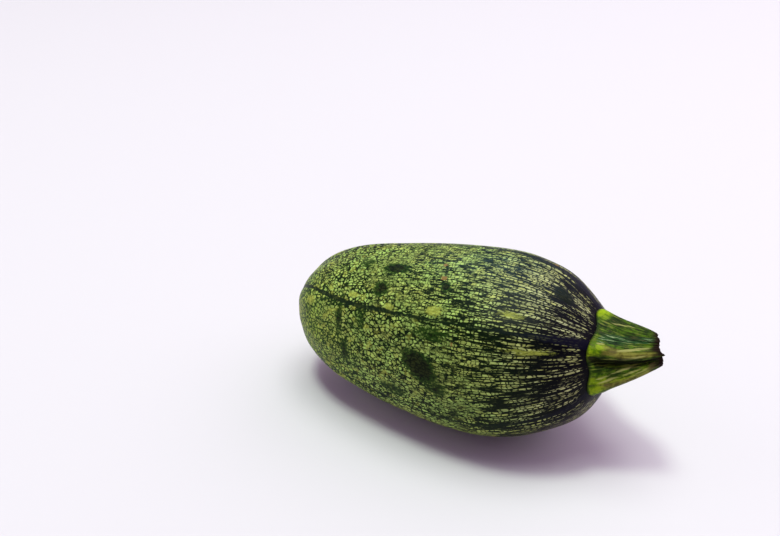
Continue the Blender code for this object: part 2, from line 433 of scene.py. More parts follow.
def front_groove(angle, share):
    """The deep crease beside the rib that faces the front."""
    offset = wrapped(angle - GROOVE_ANGLE - GROOVE_TWIST * share)
    fade = smooth_step(share, 0.0, 0.12) * smooth_step(share, 1.05, 0.80)
    return fade * bell(offset, GROOVE_WIDTH)


print("the groove turns by", round(GROOVE_TWIST * 180 / pi), "degrees from the foot to the cut")


# %% The foot on the shoulder
def skin_under(offset):
    """Point of the fruit's skin at an offset from its axis, near the stem."""
    angle = np.arctan2(-offset[..., 1], offset[..., 2])
    distance = np.linalg.norm(offset, axis=-1)
    outer = np.full(angle.shape, pi / 2)
    inner = np.full(angle.shape, pi)
    for _ in range(30):
        middle = (outer + inner) / 2
        along, radius = skin(middle, angle, lift=FOOT_LIFT)
        outside = radius > distance
        outer = np.where(outside, middle, outer)
        inner = np.where(outside, inner, middle)
    return axis_point(along) + offset


def foot_reach(angle):
    return FOOT_RADIUS + FOOT_LOBE * (2 * stem_rib(angle, 0.0) - 1)


def foot_point(share, angle):
    """The hollow underside of the stem, from its middle (0) to the rim of the foot (1)."""
    return skin_under(FOOT_SHIFT + (share * foot_reach(angle))[..., None] * ray(angle))


foot_rim = foot_point(np.ones_like(side_angle), side_angle)
print("the rim of the foot runs over", round(float(np.ptp(foot_rim[:, 0])) * 1000, 1), "mm of the shoulder")


# %% The ribbed side
def cut_edge(angle):
    """The slanted, torn rim of the cut, ahead (+) of or behind (-) its middle plane."""
    torn = 0.35 * np.sin(3 * angle + 0.6) + 0.35 * np.sin(5 * angle) + 0.3 * np.sin(9 * angle + 1.9)
    return TIP_SLANT * np.cos(angle - TIP_SLANT_ANGLE) + TIP_RAGGED * torn


def stem_side(share, angle, relief=0.0):
    """Points of the side, from the rim of the foot (0) to the rim of the cut (1)."""
    foot = foot_point(np.ones_like(angle), angle)
    along = foot[..., 0] + (STEM_END + cut_edge(angle) - foot[..., 0]) * share
    foot_radius = np.linalg.norm(foot - axis_point(foot[..., 0]) - FOOT_SHIFT, axis=-1)
    radius = TIP_RADIUS + (foot_radius - TIP_RADIUS) * (1 - share) ** TAPER
    rib = stem_rib(angle, share)
    radius = radius + KNOB_HEIGHT * rib * (share / KNOB_AT) * np.exp(1 - share / KNOB_AT)
    depth = FOOT_RIB_DEPTH + (STEM_RIB_DEPTH - FOOT_RIB_DEPTH) * smooth_step(share, 0.0, 0.4)
    hollow = smooth_step(share, 0.0, 0.08) * depth * (1 - rib)
    hollow = hollow + GROOVE_DEPTH * front_groove(angle, share)
    middle = axis_point(along) + FOOT_SHIFT + (TIP_SHIFT - FOOT_SHIFT) * share[..., None]
    return middle + (radius * (1 - hollow) + relief)[..., None] * ray(angle)


print("the rim of the cut is uneven by", round(float(np.ptp(cut_edge(side_angle))) * 1000, 1), "mm")


# %% [markdown]
# ## Fibres
#
# A squash stalk is a bundle of fibres under a thin green skin. They show as fine ridges that run
# along it, about a millimetre apart, and as the frayed edge of the cut, where one splinter was torn
# out. Both are shape, not paint, so they are waves round the stem with seeded strengths, whole numbers
# of them so that the ends meet.

# %% Ridges of the fibres
SIDE_RINGS, FOOT_RINGS, CUT_RINGS, STEM_SIDES = 150, 12, 26, 320
FIBRE_HEIGHT = 0.00020
FIBRE_TWIST = STEM_TWIST


def fibres(angle, share, counts, seed):
    """Fine ridges round the stem, between about -1 and 1, that wander a little along it."""
    draw = np.random.default_rng(seed)
    height = np.zeros_like(angle)
    for count in counts:
        sway = draw.uniform(0.3, 1.2) * np.sin(share * draw.uniform(2, 5) + draw.uniform(0, 6))
        fade = 0.6 + 0.4 * np.sin(share * draw.uniform(3, 9) + draw.uniform(0, 6))
        height += fade * np.sin(count * (angle - FIBRE_TWIST * share) + sway + draw.uniform(0, 2 * pi))
    return height / len(counts) ** 0.5


def stem_grid(shares):
    """Shares up the stem and angles round it, for the rings of one stretch."""
    return np.meshgrid(shares, np.linspace(0.0, 2 * pi, STEM_SIDES, endpoint=False), indexing="ij")


side_share, side_way = stem_grid(np.linspace(0, 1, SIDE_RINGS + 1))
ridge = fibres(side_way, side_share, (23, 31, 37, 44, 53, 61), seed=21)
ridge_fade = smooth_step(side_share, 0.0, 0.12) * (0.45 + 0.55 * (1 - stem_rib(side_way, side_share)))
side_relief = FIBRE_HEIGHT * ridge * ridge_fade
side_points = stem_side(side_share, side_way, side_relief)
print("ridges stand", round(float(side_relief.max()) * 1000, 2), "mm high at most")

# %% The frayed cut
FRAY = 0.00045
SPLINTER = 0.0010
SPLINTER_ANGLE = radians(84)
SPLINTER_WIDTH = radians(3.5)
CUT_ROUGHNESS = 0.0003

splinter = SPLINTER * bell(wrapped(side_way - SPLINTER_ANGLE), SPLINTER_WIDTH)
fray = FRAY * fibres(side_way, side_share, (13, 19, 29, 41, 57), seed=22) + splinter
side_points[..., 0] += fray * smooth_step(side_share, 0.93, 1.0)
cut_share, cut_way = stem_grid(np.linspace(0, 1, CUT_RINGS + 1)[1:])
rim = side_points[-1]
cut_middle = axis_point(np.array(STEM_END)) + TIP_SHIFT
cut_points = rim + (cut_middle - rim) * smooth_step(cut_share)[..., None]
cut_points[..., 0] -= TIP_HOLLOW * smooth_step(cut_share, 0.2, 0.7)
rough_cut = gentle_waves(cut_points, 0.0008, 0.003, 30, seed=23)
rough_cut *= smooth_step(cut_share, 0.0, 0.15) * smooth_step(cut_share, 1.0, 0.9)
cut_points[..., 0] += CUT_ROUGHNESS * rough_cut
print("the cut is frayed by up to", round(float(fray.max()) * 1000, 1), "mm")

# %% The stem piece
foot_share, foot_way = stem_grid(np.linspace(0, 1, FOOT_RINGS + 1)[:-1])
foot_points = foot_point(foot_share, foot_way)
stem_points = tilted(np.concatenate((foot_points, side_points, cut_points))) + to_frame
stem = add_piece("stem_surface", stem_points, "stem")
print("the cut ends", round(float(stem_points[..., 2].max()) * 1000), "mm above the table")

# %% [markdown]
# ## How thick the net is
#
# At the blossom end the net is a fine low-contrast mesh. Over the middle its lines are about half a
# millimetre thick. Near the stem they are thicker than the pale dashes, and round the foot of the
# stem there is nothing but the dark ground. The lines that run along the fruit are always stronger
# than the ones that cross, so a second number says how much thinner the crossing ones are. A third
# number, the share of the way to the stem, drives the change of colour. The upper side takes on the
# colours of the stem end a little sooner, and the low side's cells are painted paler, as painted
# light from the bright table below.

# %% Thickness to each side of a line of the net, as a share of a cell
FINE_LINE = 0.145           # at the blossom end; what follows is added to it
OVER_MIDDLE = 0.052
STEM_HALF = 0.148
UPPER_BLOSSOM_HALF = 0.045
BELOW_TOP = 0.05            # a little past the middle of the fruit
BESIDE_DARK_LINE = 0.10
ROUND_FOOT = 0.5
ON_LOW_SIDE = 0.04

stem_offset = fruit_radius[..., None] * ray(fruit_angle) - FOOT_SHIFT
stem_way = np.arctan2(-stem_offset[..., 1], stem_offset[..., 2])
foot_gap = (np.linalg.norm(stem_offset, axis=-1) - foot_reach(stem_way)) * 1000
foot_gap[ring_share < 0.6] = 100.0
low_side = facing(135, 40)
net_line = FINE_LINE + OVER_MIDDLE * smooth_step(ring_share, 0.34, 0.54)
net_line = (net_line + STEM_HALF * smooth_step(ring_share, 0.55, 0.77))[:, None]
net_line = net_line + BESIDE_DARK_LINE * bell(line_gap, 2.2) + ROUND_FOOT * smooth_step(foot_gap, 3.4, 0.8)
net_line += BELOW_TOP * near_share(0.58, 0.10) * (1 - facing(0, 32))
net_line += UPPER_BLOSSOM_HALF * near_share(0.40, 0.17) * facing(30, 32) + ON_LOW_SIDE * low_side
net_cross = 0.15 + 0.67 * smooth_step(ring_share, 0.28, 0.58)[:, None]
share_of_way = ring_share[:, None]
stem_ward = share_of_way + 0.22 * facing(10, 42) * (1 - share_of_way)
keep_on_points(fruit, fruit_angle.shape, net_line=net_line, net_cross=net_cross,
               stem_ward=stem_ward, low_side=low_side)
print("lines of the net, in cells:", round(float(net_line.min()), 2), "to", round(float(net_line.max()), 2))

# %% [markdown]
# ## Bruises, blotches and corky spots
#
# What makes this a real fruit is its marks: dark green bruises where it was pressed, yellow blotches
# where cells ran together, and small tan spots of cork where the skin was nicked. They are few, so
# each is a short line here: how far along the outline it lies, the degrees round the fruit, its length
# and its width in millimetres, how strong it is and, where it lies aslant, by how many degrees. The
# far side and the underside get marks at seeded places, so that the fruit looks finished from
# everywhere. Two more fields are stored with them: the distance to the blossom's scar, and where a
# faint bluish painted sheen, a painted reflection of the light from above, lies on the upper side.

# %% Marks on the front
BRUISES = (
    (0.450, 79, 15, 9.5, 1.35, 34), (0.474, 92, 10, 7, 0.75), (0.466, 58, 15, 5, 0.62),
    (0.398, 104, 12, 6, 0.65), (0.292, 62, 3.5, 16, 0.72), (0.305, 88, 5, 10, 0.75),
    (0.338, 59, 6, 9, 0.55), (0.364, 35, 7, 6.5, 1.00, 30), (0.374, 17, 11, 5.5, 1.10),
    (0.312, 13, 7, 5, 0.55), (0.732, 9, 9, 6, 1.40, 25), (0.468, 27.5, 4.2, 3.6, 1.20, 30))
BLOTCHES = (
    (0.464, 44.2, 7.0, 4.2, 1.0), (0.388, 46.6, 5.5, 2.8, 0.9), (0.314, 43.0, 6.0, 2.8, 0.9),
    (0.200, 54, 5, 4, 0.7), (0.626, 38.5, 11.0, 3.6, 0.66), (0.690, 60.5, 20, 2.6, 0.7),
    (0.205, 40, 7, 2.6, 0.6), (0.352, 66, 3, 2.4, 0.5))
CORK = ((0.460, 21.5, 2.4, 2.6, 1.0), (0.450, 10, 1.8, 2.6, 0.7), (0.500, 61.5, 1.6, 1.6, 0.7))
MARK_REACH = 0.68       # from the middle to the rim, as a share of the size: the ragged rim falls inside
print("marks on the front:", len(BRUISES), "bruises,", len(BLOTCHES), "blotches,", len(CORK), "corky spots")


# %% Seeded marks for the far side, and the field of a mark
def strewn_marks(count, sizes, seed):
    """Marks at seeded places on the far side and the underside."""
    draw = np.random.default_rng(seed)
    marks = []
    for _ in range(count):
        length = draw.uniform(*sizes)
        marks.append((draw.uniform(0.2, 0.8), draw.uniform(135, 345), length,
                      length * draw.uniform(0.4, 0.8), draw.uniform(0.5, 1.0)))
    return tuple(marks)


def marks_field(marks, along_from, beside_from, reach=0.5):
    """The strongest mark at each point: its strength in the middle, 0 at its rim, below 0 outside."""
    field = 0.0
    for share, degrees, length, width, strength, *slant in marks:
        turn = radians(sum(slant))
        along = along_from(share)
        beside = beside_from(degrees)
        forward = (along * cos(turn) + beside * sin(turn)) / (reach * length)
        sideways = (beside * cos(turn) - along * sin(turn)) / (reach * width)
        field = np.maximum(field, strength * (1 - np.hypot(sideways, forward) ** 2))
    return field


def from_share(share):
    """Millimetres along the skin from a share of the turn."""
    return (ring_reach - np.interp(share, ring_share, ring_reach))[:, None]


print("a bruise 10 mm long fades to nothing", round(MARK_REACH * 10, 1), "mm from its middle")


# %% Store the marks, the scar and the painted sheen
all_marks = (
    BRUISES + strewn_marks(11, (5, 15), seed=11),
    BLOTCHES + strewn_marks(16, (4, 10), seed=12),
    CORK + strewn_marks(5, (1.8, 3.2), seed=13))
marks = np.stack([marks_field(kind, from_share, round_distance, MARK_REACH) for kind in all_marks], axis=-1)
scar_gap = np.where(ring_share < 0.5, bare_radius * 1000, 100.0)[:, None]
# painted sheen: where a faint bluish veil of reflected light is painted, on the upper side past the middle
bloom = bell(round_distance(2), 14.0) * near_share(0.55, 0.15)
keep_on_points(fruit, fruit_angle.shape, marks=marks, scar_gap=scar_gap, bloom=bloom)
print("marks in all:", [len(kind) for kind in all_marks])

# %% [markdown]
# ## Colours and nodes
#
# A colour given here is an sRGB hex value, and Blender's sockets want linear light, so one function
# turns one into the other. Materials are graphs of nodes. One small function adds any node: its
# settings, its inputs and what they are linked to, so that a material reads from top to bottom like a
# recipe. Every place that is stored on the points is in millimetres, so the scale of a noise is in
# waves to the millimetre: a scale of 0.8 gives spots of a little more than a millimetre.


# %% From a hex value to linear light
def paint(hex_value):
    parts = [int(hex_value[place:place + 2], 16) / 255 for place in (1, 3, 5)]
    linear = [part / 12.92 if part <= 0.04045 else ((part + 0.055) / 1.055) ** 2.4 for part in parts]
    return (*linear, 1.0)


print("middle grey is", round(paint("#808080")[0], 3), "in linear light")


# %% One function that adds a node
def add(tree, kind, inputs, **settings):
    """Adds a node. An input is a value, a hex colour, another node's socket or a node with one output."""
    made = tree.nodes.new("ShaderNode" + kind)
    for name, value in settings.items():
        setattr(made, name, value)
    for key, value in inputs.items():
        sockets = [socket for socket in made.inputs if socket.name == key and socket.enabled]
        socket = made.inputs[key] if isinstance(key, int) else sockets[0]
        if isinstance(value, str):
            value = paint(value)
        if isinstance(value, bpy.types.Node):
            value = next(output for output in value.outputs if output.enabled)
        if isinstance(value, bpy.types.NodeSocket):
            tree.links.new(value, socket)
        else:
            socket.default_value = value
    return made


def new_material(name):
    """An empty material with its tree and its shader, which is linked to the output."""
    material = bpy.data.materials.new(name)
    material.use_nodes = True
    return material, material.node_tree, material.node_tree.nodes["Principled BSDF"]


print("every node comes from one function:", add.__name__)

# %% [markdown]
# ## Steps that both materials share
#
# Two steps come back in both materials: noise that is stretched to a range, and a stored field that is
# given a ragged edge and cut out. Each takes two nodes, so each is a function. A third function links
# the finished colour, roughness and relief to the shader.


# %% Uneven noise and cut-out marks
def uneven(tree, vector, scale, low, high, least, most, detail=2.0, roughness=0.6):
    """Noise on a place, stretched so that what lies between low and high runs from least to most."""
    noise = add(tree, "TexNoise", {"Vector": vector, "Scale": scale, "Detail": detail,
                                   "Roughness": roughness}).outputs["Fac"]
    return add(tree, "MapRange", {"Value": noise, "From Min": low, "From Max": high,
                                  "To Min": least, "To Max": most})


def cut_out(tree, field, edge, low, high, most=1.0):
    """Adds a ragged edge to a stored field, then gives 0 below low and most above high."""
    torn = add(tree, "Math", {0: field, 1: edge}, operation="ADD")
    return add(tree, "MapRange", {"Value": torn, "From Min": low, "From Max": high, "To Max": most},
               interpolation_type="SMOOTHSTEP")


def put_on(piece, material, colour, roughness, relief, gloss):
    """Links the finished colour, roughness and relief to the shader, and gives the piece its material."""
    shader = material.node_tree.nodes["Principled BSDF"]
    for name, node in (("Base Color", colour), ("Roughness", roughness), ("Normal", relief)):
        output = next(output for output in node.outputs if output.enabled)
        material.node_tree.links.new(output, shader.inputs[name])
    shader.inputs["IOR"].default_value = 1.45
    shader.inputs["Specular IOR Level"].default_value = gloss
    piece.data.materials.append(material)
    print(material.name, "has", len(material.node_tree.nodes), "nodes")


# %% [markdown]
# ## The skin: waxy summer squash rind
#
# The skin is a thin tough rind with a natural wax on it. Wax has an index of refraction near 1.45, but
# dust and fine hairs dull this skin, so its gloss is held far below that of clean wax: the lamps give
# it a broad soft sheen. The net is pigment, so it lies in the colour. The lines are sunk by a few
# hundredths of a millimetre, which breaks the sheen. Cells come from a Voronoi texture: its first cell
# gives each pale cell its own tint, and its distance to the edge gives the net. Noise bends the place
# that the texture reads first, so that no line is straight.

# %% The cells of the rind
CELL = 1.74             # millimetres from the middle of one pale cell to the next

rind, tree, _ = new_material("waxy_squash_rind")
place, fields = (
    add(tree, "Attribute", {}, attribute_name=name).outputs["Vector"] for name in ("net_place", "marks"))
stem_ward, net_line, net_cross, low_side, line_field, scar_gap, bloom = (
    add(tree, "Attribute", {}, attribute_name=name).outputs["Fac"]
    for name in ("stem_ward", "net_line", "net_cross", "low_side", "line_field", "scar_gap", "bloom"))


def bend(vector, scale, detail, reach):
    """Pushes a place about by noise, so that what is drawn on it loses its straight edges."""
    wander = add(tree, "TexNoise", {"Vector": vector, "Scale": scale, "Detail": detail, "Roughness": 0.6})
    push = add(tree, "VectorMath", {0: wander.outputs["Color"], 1: (0.5, 0.5, 0.5)}, operation="SUBTRACT")
    push = add(tree, "VectorMath", {0: push, "Scale": reach}, operation="SCALE")
    return add(tree, "VectorMath", {0: vector, 1: push}, operation="ADD").outputs[0]


def cell_pattern(inputs, **settings):
    """The cells of a pattern, and the distance to their edges."""
    return [add(tree, "TexVoronoi", inputs, feature=kind, **settings) for kind in ("F1", "DISTANCE_TO_EDGE")]


bent = bend(bend(place, 0.4, 2.0, 2.2), 1.9, 1.0, 0.8)
disorder = add(tree, "MapRange", {"Value": stem_ward, "From Min": 0.35, "From Max": 0.65,
                                  "To Min": 1.0, "To Max": 0.68})
cells, edges = cell_pattern({"Vector": bent, "Scale": 1 / CELL, "Randomness": disorder})
print("pale cells are about", CELL, "mm apart")

# %% Lines that cross are thinner than lines that run along
from_middle = add(tree, "VectorMath", {0: bent, 1: cells.outputs["Position"]}, operation="SUBTRACT")
along_axis = add(tree, "SeparateXYZ", {0: from_middle}).outputs["X"]
reach = add(tree, "VectorMath", {0: from_middle}, operation="LENGTH").outputs["Value"]
reach = add(tree, "Math", {0: reach, 1: 0.001}, operation="MAXIMUM")
end_on = add(tree, "Math", {0: along_axis, 1: reach}, operation="DIVIDE")
end_on = add(tree, "Math", {0: end_on}, operation="ABSOLUTE")
thinner = add(tree, "Math", {0: end_on, 1: net_cross}, operation="MULTIPLY")
thinner = add(tree, "Math", {0: 1.0, 1: thinner}, operation="SUBTRACT")
print("nodes with the crossing lines:", len(tree.nodes))

# %% [markdown]
# ## Rows of dashes near the stem
#
# Near the stem the cells have grown so long that the net turns into rows, each cut into dashes by
# short cross lines. Stretching round cells further would only give spindles. So the rows are a second
# cell pattern, on a place that is squeezed to a seventh along the fruit, and the dashes are a third
# one that runs along a row, moved by a number of the row's own so that no cut meets its neighbour's.

# %% Rows that run with the fruit, and the short lines that cut a row into dashes
ROW = 1.45              # millimetres from one row to the next
DASH = 1.15             # millimetres from one cross line to the next, along the stretched net

long_place = add(tree, "VectorMath", {0: place, 1: (0.3, 1.0, 1.0)}, operation="MULTIPLY").outputs[0]
row_place = add(tree, "VectorMath", {0: place, 1: (0.14, 1.0, 1.0)}, operation="MULTIPLY").outputs[0]
row_place = bend(bend(row_place, 0.5, 2.0, 2.0), 1.7, 1.0, 0.9)
rows, row_edges = cell_pattern({"Vector": row_place, "Scale": 1 / ROW, "Randomness": 0.75})
row_own = add(tree, "SeparateColor", {0: rows.outputs["Color"]}).outputs["Red"]
dash_place = add(tree, "SeparateXYZ", {0: bent}).outputs["X"]
dash_place = add(tree, "Math", {0: dash_place, 1: 1 / DASH}, operation="MULTIPLY")
dash_place = add(tree, "Math", {0: row_own, 1: 50.0, 2: dash_place}, operation="MULTIPLY_ADD")
dashes, dash_edges = cell_pattern({"W": dash_place, "Scale": 1.0}, voronoi_dimensions="1D")
print("rows are", ROW, "mm apart, and a dash is about", round(DASH * float(stretch[-1]), 1), "mm long")

# %% The net is thick in some patches and broken in others
patch = uneven(tree, long_place, 0.16, 0.32, 0.68, 0.82, 1.15)
breaks = uneven(tree, bent, 0.8, 0.34, 0.62, 0.66, 1.17)
row_width = add(tree, "Math", {0: net_line, 1: patch}, operation="MULTIPLY")
row_width = add(tree, "Math", {0: row_width, 1: breaks}, operation="MULTIPLY")
width = add(tree, "Math", {0: row_width, 1: thinner}, operation="MULTIPLY")
print("nodes with the lines' thickness:", len(tree.nodes))


# %% A cell is palest in its middle and fades towards the net
def clear_of_line(gap, line_width, dark_share, pale_share, blur):
    """0 on a line, 1 well inside a cell, from the distance to the edge and the line's width."""
    dark_to = add(tree, "Math", {0: line_width, 1: dark_share}, operation="MULTIPLY")
    pale_from = add(tree, "Math", {0: line_width, 1: pale_share, 2: blur}, operation="MULTIPLY_ADD")
    return add(tree, "MapRange", {"Value": gap, "From Min": dark_to, "From Max": pale_from},
               interpolation_type="SMOOTHSTEP")


corner = add(tree, "MapRange", {"Value": cells.outputs["Distance"], "From Min": 0.42, "From Max": 0.9,
                                "To Min": 0.0, "To Max": 0.035})
edge_gap = add(tree, "Math", {0: edges.outputs["Distance"], 1: corner}, operation="SUBTRACT")
in_cell = clear_of_line(edge_gap, width, 0.62, 0.98, 0.04)
in_row = clear_of_line(row_edges, row_width, 0.38, 0.66, 0.05)
in_dash = clear_of_line(dash_edges, row_width, 0.28, 0.60, 0.06)
in_dash = add(tree, "Math", {0: in_dash, 1: in_row}, operation="MULTIPLY")
print("nodes with the insides of the cells:", len(tree.nodes))

# %% Towards the stem the rows take over from the mesh
wander = add(tree, "TexNoise", {"Vector": place, "Scale": 0.12, "Detail": 2.0, "Roughness": 0.6})
row_switch = add(tree, "Math", {0: wander.outputs["Fac"], 1: 0.35, 2: stem_ward}, operation="MULTIPLY_ADD")
row_switch = add(tree, "MapRange", {"Value": row_switch, "From Min": 0.62, "From Max": 0.72})
pale = add(tree, "Mix", {"Factor": row_switch, "A": in_cell, "B": in_dash}, data_type="FLOAT")
own_colour = add(tree, "Mix", {"Factor": row_switch, "A": cells.outputs["Color"],
                               "B": dashes.outputs["Color"]}, data_type="RGBA")
print("nodes with the rows:", len(tree.nodes))

# %% [markdown]
# ## Tints of the cells and of the ground
#
# The pale cells are lime green at the blossom end, a softer green over the middle and an olive grey
# near the stem. The ground between them goes from leaf green through blackish green to near black,
# whose faint violet cast by the stem is a painted reflection of the dim violet room. No two cells are
# alike, so each one's own random number shifts its brightness and its warmth. The low side's cells
# are painted paler still, as painted light from the bright table below.

# %% Colours from the blossom end to the stem
past_blossom = add(tree, "MapRange", {"Value": stem_ward, "From Min": 0.14, "From Max": 0.40},
                   interpolation_type="SMOOTHSTEP")
near_stem = add(tree, "MapRange", {"Value": stem_ward, "From Min": 0.52, "From Max": 0.82},
                interpolation_type="SMOOTHSTEP")


def along_fruit(blossom, middle, by_stem):
    """One colour at the blossom end, another over the middle and a third by the stem."""
    tint = add(tree, "Mix", {"Factor": past_blossom, "A": blossom, "B": middle}, data_type="RGBA")
    return add(tree, "Mix", {"Factor": near_stem, "A": tint, "B": by_stem}, data_type="RGBA")


cell_tint = along_fruit("#8BAB30", "#94B25A", "#A6A97C")
# by the stem the ground is near black, and its faint violet cast is a painted reflection of the violet room
ground = along_fruit("#26460C", "#081704", "#030208")
print("nodes with the colours along the fruit:", len(tree.nodes))

# %% Each cell has its own tint
own = add(tree, "SeparateColor", {0: own_colour})
own_light = add(tree, "MapRange", {"Value": own.outputs["Red"], "To Min": 0.67, "To Max": 1.20})
own_warmth = add(tree, "MapRange", {"Value": own.outputs["Green"], "From Min": 0.55, "From Max": 1.0,
                                    "To Max": 0.45})
drift = uneven(tree, place, 0.06, 0.42, 0.62, 0.0, 0.45, roughness=0.55)
for cover, colour in ((own_warmth, "#A9AE4E"), (drift, "#95974C")):
    cell_tint = add(tree, "Mix", {"Factor": cover, "A": cell_tint, "B": colour}, data_type="RGBA")
mottle = uneven(tree, bent, 1.6, 0.3, 0.7, 0.80, 1.22)
# painted light: the low side's cells are made paler, for the light the bright table throws up onto it
painted_bounce_light = add(tree, "Math", {0: low_side, 1: 0.32, 2: 1.0}, operation="MULTIPLY_ADD")
for light in (mottle, painted_bounce_light):
    own_light = add(tree, "Math", {0: own_light, 1: light}, operation="MULTIPLY")
cell_tint = add(tree, "VectorMath", {0: cell_tint, "Scale": own_light}, operation="SCALE")
tinted = add(tree, "Mix", {"Factor": pale, "A": ground, "B": cell_tint}, data_type="RGBA")
print("nodes with the tints of the cells:", len(tree.nodes))

# %% [markdown]
# ## The marks on the rind
#
# Every mark's field is stored on the points as a smooth hill. Noise is added to the hill before it is
# cut off, which gives each mark a ragged edge of its own. A bruise stains both the cells and the net,
# green at its rim and nearly black in its middle. A yellow blotch is a place where the net is missing.
# The blossom half also has small spots of both kinds, which come from one more noise.

# %% Yellow blotches, bruises and cork
fine = add(tree, "TexNoise", {"Vector": place, "Scale": 0.8, "Detail": 3.0, "Roughness": 0.65}).outputs["Fac"]
ragged = add(tree, "MapRange", {"Value": fine, "From Min": 0.3, "From Max": 0.7,
                                "To Min": -0.35, "To Max": 0.35})
fields = add(tree, "SeparateXYZ", {0: fields}).outputs
bruise = cut_out(tree, fields["X"], ragged, 0.05, 0.60, 0.95)
deep = cut_out(tree, fields["X"], ragged, 0.45, 0.95)
blotch = cut_out(tree, fields["Y"], ragged, 0.28, 0.75, 0.66)
cork = cut_out(tree, fields["Z"], ragged, 0.3, 0.6)
print("nodes with the three kinds of marks:", len(tree.nodes))

# %% Small spots in the blossom half
blossom_half = add(tree, "MapRange", {"Value": stem_ward, "From Min": 0.55, "From Max": 0.35})
spots = add(tree, "TexNoise", {"Vector": place, "Scale": 0.26, "Detail": 3.0, "Roughness": 0.65})
spotted = []
for mark, low, high, most in ((bruise, 0.445, 0.32, 0.80), (blotch, 0.56, 0.66, 0.75)):
    spot = add(tree, "MapRange", {"Value": spots.outputs["Fac"], "From Min": low, "From Max": high,
                                  "To Max": most})
    spot = add(tree, "Math", {0: spot, 1: blossom_half}, operation="MULTIPLY")
    spotted.append(add(tree, "Math", {0: mark, 1: spot}, operation="MAXIMUM"))
bruise, blotch = spotted
print("nodes with the small spots:", len(tree.nodes))

# %% Tints of the marks
# by the stem the bruise's bluish cast is a painted reflection of the dim violet room
bruise_tint = add(tree, "Mix", {"Factor": near_stem, "A": "#1F390C", "B": "#080A10"}, data_type="RGBA")
bruise_tint = add(tree, "Mix", {"Factor": deep, "A": bruise_tint, "B": "#040D01"}, data_type="RGBA")
blotch_tint = add(tree, "Mix", {"Factor": own.outputs["Blue"], "A": "#A8B048", "B": "#929E42"},
                  data_type="RGBA")
print("nodes with the marks' tints:", len(tree.nodes))

# %% The five dark lines
line_noise = uneven(tree, place, 0.5, 0.3, 0.7, -0.4, 0.4, detail=3.0)
line = cut_out(tree, line_field, line_noise, -0.22, 0.22, 0.93)
# by the stem the line's blue-violet cast is a painted reflection of the dim violet room
line_tint = add(tree, "Mix", {"Factor": near_stem, "A": "#0C1D0A", "B": "#080718"}, data_type="RGBA")
print("nodes with the dark lines:", len(tree.nodes))

# %% [markdown]
# ## The blossom's scar and the painted sheen
#
# Where the blossom fell off, a dry tan disc is left, with a dark rim, faint rings and a pale halo. Its
# stored field is the distance to the axis, so rings are the sine of that distance. The painted sheen is
# a faint pale bluish veil over the upper side, a painted reflection of the light from above.

# %% The dry scar of the blossom
scar_edge = add(tree, "Math", {0: ragged, 1: 2.2, 2: scar_gap}, operation="MULTIPLY_ADD")
scar = add(tree, "MapRange", {"Value": scar_edge, "From Min": 6.6, "From Max": 5.4},
           interpolation_type="SMOOTHSTEP")
scar_halo = add(tree, "MapRange", {"Value": scar_edge, "From Min": 10.0, "From Max": 6.0, "To Max": 0.55})
scar_rings = add(tree, "Math", {0: scar_edge, 1: 5.0}, operation="MULTIPLY")
scar_rings = add(tree, "Math", {0: scar_rings}, operation="SINE")
scar_rings = add(tree, "Math", {0: scar_rings, 1: 0.22, 2: fine}, operation="MULTIPLY_ADD")
scar_rings = add(tree, "MapRange", {"Value": scar_rings, "From Min": 0.25, "From Max": 0.75})
scar_rim = add(tree, "MapRange", {"Value": scar_edge, "From Min": 4.4, "From Max": 5.6, "To Max": 0.85})
scar_tint = add(tree, "Mix", {"Factor": scar_rings, "A": "#3A3115", "B": "#9A8D55"}, data_type="RGBA")
scar_tint = add(tree, "Mix", {"Factor": scar_rim, "A": scar_tint, "B": "#1F1A0A"}, data_type="RGBA")
print("nodes with the scar:", len(tree.nodes))

# %% The painted sheen, and all layers over the net
# painted sheen: a faint pale bluish veil laid over the upper side as a painted reflection of the light above
bloom_left = add(tree, "MapRange", {"Value": line_noise, "From Min": -0.4, "From Max": 0.4,
                                    "To Min": 0.012, "To Max": 0.065})
bloom = add(tree, "Math", {0: bloom, 1: bloom_left}, operation="MULTIPLY")
for cover, colour in (
        (blotch, blotch_tint), (bruise, bruise_tint), (cork, "#7A6234"), (line, line_tint),
        (scar_halo, "#8C9A42"), (scar, scar_tint), (bloom, "#8FC2CC")):
    tinted = add(tree, "Mix", {"Factor": cover, "A": tinted, "B": colour}, data_type="RGBA")
print("nodes with the bloom:", len(tree.nodes))

# %% Sheen and relief of the rind
grain = add(tree, "TexNoise", {"Vector": place, "Scale": 2.2, "Detail": 3.0, "Roughness": 0.6}).outputs["Fac"]
relief = add(tree, "Math", {0: pale, 1: 0.55, 2: grain}, operation="MULTIPLY_ADD")
bump = add(tree, "Bump", {"Height": relief, "Strength": 0.35, "Distance": 0.00012})
rough = add(tree, "MapRange", {"Value": grain, "From Min": 0.3, "From Max": 0.7,
                               "To Min": 0.34, "To Max": 0.46})
rough = add(tree, "Mix", {"Factor": scar, "A": rough, "B": 0.9}, data_type="FLOAT")
put_on(fruit, rind, tinted, rough, bump, gloss=0.065)

# %% [markdown]
# ## What the stem's finish needs to know
#
# The stem's colours follow its form: bright lobes round the foot, yellow ribs with the groove beside
# them painted dark as painted shade, blue-green hollows with fine lines. The low side is painted
# lighter in the lobes' and ribs' colours, as painted light from the bright table below. Each of these
# is a band or a lobe whose distance to its own edge is stored on the points, 1 in its middle and 0 at
# its edge, and the material adds noise before it cuts. A second place, drawn out along the stem, turns
# any noise on it into fibres. Corky scars, dark panels and pale streaks are short lines of place and
# size, in shares of the stem's length, degrees round it, and millimetres.


# %% Bands that run up the stem
def whole_stem(foot, side, cut):
    """One value per point of the stem, from its three stretches."""
    return np.concatenate((np.broadcast_to(foot, foot_way.shape), side, cut))


